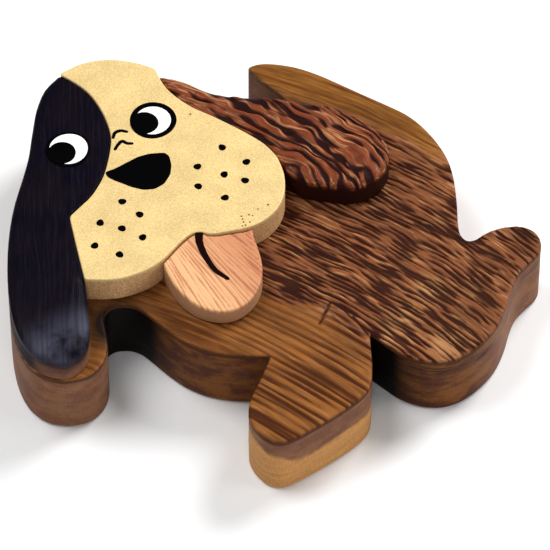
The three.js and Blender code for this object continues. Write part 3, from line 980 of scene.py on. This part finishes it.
def make_tongue():
    mortise_top = top_of("tongue_tenon") + PIN_ROOM
    outline = softened(loops("tongue", bottom_of("tongue"), mortise_top)[0], blur=0.6)

    def height(flat, distance):
        return tongue_top(flat) - TONGUE_GROOVE * tongue_fields(flat)["groove"]

    piece = slab("tongue_blade", outline, bottom_of("tongue"), height, grain=TONGUE_GRAIN, across=0.3,
                 along=0.8, edge=0.45, foot=0.3, wobble=0.12)
    cut(piece, [tenon_bar(PIN_ROOM, PIN_ROOM, LID_TOP - 1, mortise_top)])
    return finished(piece, "tongue", "tongue_wood", "tongue", fields=tongue_fields)


def make_felt():
    outline = softened(loops("felt_floor", top_of("felt_floor"))[0])

    def height(flat, distance):
        return top_of("felt_floor") - 0.25 * layered_noise(flat[:, 0] / 2, flat[:, 1] / 2, 61)

    piece = slab("felt_sheet", outline, bottom_of("felt_floor"), height, across=1, along=1, edge=0.3,
                 foot=0.1, wall_step=0.3, wobble=0.2)
    finished(piece, "base", "felt", "felt_floor")
    return piece


# --- The painted details. Their places are given from the middle of the face. ---


def face_places(places):
    low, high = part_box("face_plate")
    middle = np.array((low + high)[:2]) / 2 / MM
    return [(*(middle + place[:2]), *place[2:]) for place in places]


def ring(x, y, radius, uneven=0.0, sides=40):
    """A circle, or one a little out of round as a brush leaves it."""
    turns = np.arange(sides) * 2 * math.pi / sides
    radii = radius * (1 + uneven * np.sin(2 * turns + x) + uneven * np.sin(3 * turns + y))
    return np.column_stack([x + radii * np.cos(turns), y + radii * np.sin(turns)])


def stroke(places, widths):
    """The outline of a brush stroke through some points, with round ends."""
    places = np.array(places, float)
    lengths = np.r_[0, np.cumsum(np.linalg.norm(np.diff(places, axis=0), axis=1))]
    even = np.linspace(0, lengths[-1], 24)
    path = smooth_run(places, lengths, even)
    half = np.interp(even / lengths[-1], np.linspace(0, 1, len(widths)), widths) / 2
    along = np.gradient(path, axis=0)
    along /= np.linalg.norm(along, axis=1, keepdims=True)
    aside = np.column_stack([-along[:, 1], along[:, 0]])
    turns = np.linspace(-math.pi / 2, math.pi / 2, 7)[1:-1, None]
    end = path[-1] + half[-1] * (np.cos(turns) * along[-1] + np.sin(turns) * aside[-1])
    start = path[0] - half[0] * (np.cos(turns) * along[0] + np.sin(turns) * aside[0])
    return np.vstack([path - half[:, None] * aside, end, (path + half[:, None] * aside)[::-1], start])


def smooth_run(places, lengths, even):
    """Points of a smooth curve through the places, at those distances."""
    slopes = np.gradient(places, lengths, axis=0)
    i = np.clip(np.searchsorted(lengths, even, side="right") - 1, 0, len(lengths) - 2)
    gap = (lengths[i + 1] - lengths[i])[:, None]
    u = ((even - lengths[i]) / gap[:, 0])[:, None]
    return (
        (2 * u**3 - 3 * u**2 + 1) * places[i] + (u**3 - 2 * u**2 + u) * gap * slopes[i]
        + (3 * u**2 - 2 * u**3) * places[i + 1] + (u**3 - u**2) * gap * slopes[i + 1]
    )


def enamel(name, outline, look, layer=1, blur=0.25):
    """A thin pillow of paint on the face. Each layer lies on the one before."""
    top = FACE_TOP + PAINT * layer
    piece = slab(name, softened(outline, 0.25, blur), FACE_TOP - 0.1, top, across=0.7, along=0.7,
                 edge=PAINT, foot=0.02)
    look.on(finished(piece, "lid", None))
    return piece


def make_face_paint(black, white):
    for side, *places in EYES:
        layers = zip(("ring", "white", "pupil"), face_places(places), (black, white, black))
        for layer, (part, place, look) in enumerate(layers, 1):
            enamel(f"{side}_eye_{part}", ring(*place, 0.008), look, layer)
    middle = np.array(face_places([(0, 0)])[0])
    enamel("nose", np.array(NOSE) + middle, black, blur=0.5)
    for i, places in enumerate(BROWS):
        enamel(f"brow_{i + 1}", stroke(np.array(places) + middle, (0.9, 1.1, 0.9)), black, blur=0.12)
    for i, (x, y) in enumerate(WHISKER_DOTS):
        enamel(f"whisker_dot_{i + 1:02}", ring(*face_places([(x, y, 1.12)])[0], 0.06), black)


def make_tongue_line(look):
    middle = np.array(face_places([(0, 0)])[0])
    outline = softened(stroke(np.array(TONGUE_LINE) + middle, (2.4, 2.0, 1.7, 1.5, 1.1)), 0.25, 0.2)

    def height(flat, distance):
        return tongue_top(flat) + PAINT

    lowest = tongue_top(outline).min()
    piece = slab("tongue_line", outline, lowest - 0.6, height, across=0.6, along=0.6, edge=PAINT, foot=0.02)
    look.on(finished(piece, "tongue", None))


# --- The scene. ---


def make_room():
    """A pale floor under four soft lights: a key beyond the tail, one overhead and two weak low ones."""
    bpy.ops.mesh.primitive_plane_add(size=6)
    floor = bpy.context.object
    floor.name = "floor"
    look = Look("paper", roughness=0.9, specular=0.1)
    tooth = look.noise(scale=1.5, detail=3)
    look.colour(look.shade(rgb(246, 246, 246), tooth, 0.985, 1.0))
    look.bump(tooth, 0.02)
    look.on(floor)
    for name, place, size, power in LIGHTS:
        data = bpy.data.lights.new(name, "AREA")
        data.shape = "DISK"
        data.size = size
        data.energy = power
        lamp = bpy.data.objects.new(name, data)
        lamp.location = place
        lamp.rotation_euler = (-Vector(place)).to_track_quat("-Z", "Y").to_euler()
        bpy.context.scene.collection.objects.link(lamp)
    world = bpy.data.worlds.new("studio")
    world.use_nodes = True
    world.node_tree.nodes["Background"].inputs["Color"].default_value = (1, 1, 1, 1)
    world.node_tree.nodes["Background"].inputs["Strength"].default_value = AMBIENT
    bpy.context.scene.world = world
    bpy.context.scene.view_settings.view_transform = "Standard"


def make_camera():
    turn, tilt = math.radians(VIEW_AZIMUTH), math.radians(VIEW_ELEVATION)
    looking = Vector((-math.sin(turn) * math.cos(tilt), math.cos(turn) * math.cos(tilt), -math.sin(tilt)))
    data = bpy.data.cameras.new("camera")
    data.lens = VIEW_LENS
    camera = bpy.data.objects.new("camera", data)
    camera.location = (Vector(VIEW_TARGET) - looking * VIEW_DISTANCE) * MM
    camera.rotation_euler = looking.to_track_quat("-Z", "Y").to_euler()
    bpy.context.scene.collection.objects.link(camera)
    bpy.context.scene.camera = camera


make_camera()
make_room()

block = make_block()
lid = make_lid()
face = make_face()
left_ear = make_left_ear()
backing = make_backing()
right_ear = make_right_ear()
tongue = make_tongue()
felt = make_felt()

block_wood_look().on(block)
brushed_body_look().on(lid)
face_board_look().on(face)
black_stain_look().on(left_ear)
backing_look().on(backing)
carved_ear_look().on(right_ear)
tongue_wood_look().on(tongue)
felt_look().on(felt)

black_paint = paint_look("black_enamel", rgb(1, 1, 2), 0.45)
make_face_paint(black_paint, paint_look("white_enamel", rgb(250, 248, 244), 0.4))
make_tongue_line(paint_look("burnt_line", rgb(20, 5, 3), 0.4))

nodes = frame["nodes"]
beech_look().on(nodes["lock_pin"], nodes["pivot_dowel"], nodes["tongue_tenon"])
cork_look().on(nodes["screw_cover"])
metal_look("nickel", rgb(206, 202, 194), 0.22).on(*(nodes[name] for name in nodes if "magnet" in name))
metal_look("steel", rgb(168, 168, 172), 0.32).on(
    nodes["pivot_washer"], nodes["pivot_screw"], nodes["tongue_stop_brad"]
)
